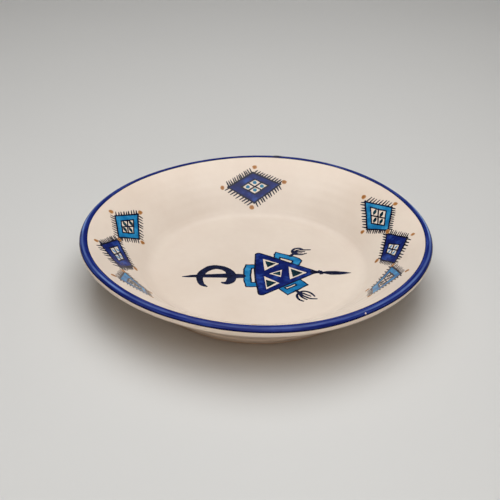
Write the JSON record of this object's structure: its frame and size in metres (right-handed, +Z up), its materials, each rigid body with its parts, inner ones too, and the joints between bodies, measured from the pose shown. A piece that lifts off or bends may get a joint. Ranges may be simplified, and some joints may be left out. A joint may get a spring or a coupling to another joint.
{
  "type": "bowl-shaped plate",
  "caption": "Round bowl-shaped earthenware plate on a foot ring, with a flat well, off-white glaze, a blue rim band, fringed diamond tiles on the wall and a brooch motif in the centre.",
  "frame": {"origin": "centre of the foot ring, on the table", "axes": "+Z up along the plate's axis, +X the way the brooch's spindle points, +Y away from a person who sees the spindle pointing right"},
  "size_m": [0.2202, 0.2202, 0.0378],
  "materials": {
    "clay": "matte",
    "white_glaze": "gloss",
    "cobalt_band": "gloss",
    "dark_blue": "gloss",
    "light_blue": "gloss",
    "navy_line": "gloss",
    "turquoise": "gloss",
    "orange": "satin"
  },
  "bodies": {
    "root": {"clay_body": "clay", "face_glaze": "white_glaze", "back_glaze": "white_glaze", "recess_glaze": "white_glaze", "rim_band": "cobalt_band", "tile_back": "dark_blue", "tile_right": "dark_blue", "tile_front": "dark_blue", "tile_left": "dark_blue", "tile_right_back": "light_blue", "tile_right_front": "light_blue", "tile_left_front": "light_blue", "tile_left_back": "light_blue", "corner_dots": "orange", "pane_marks": "turquoise", "brooch_triangle": "dark_blue", "brooch_cores": "turquoise", "brooch_brackets": "light_blue", "brooch_hoop": "navy_line", "brooch_spindle": "navy_line", "brooch_tassels": "navy_line"}
  },
  "joints": []
}
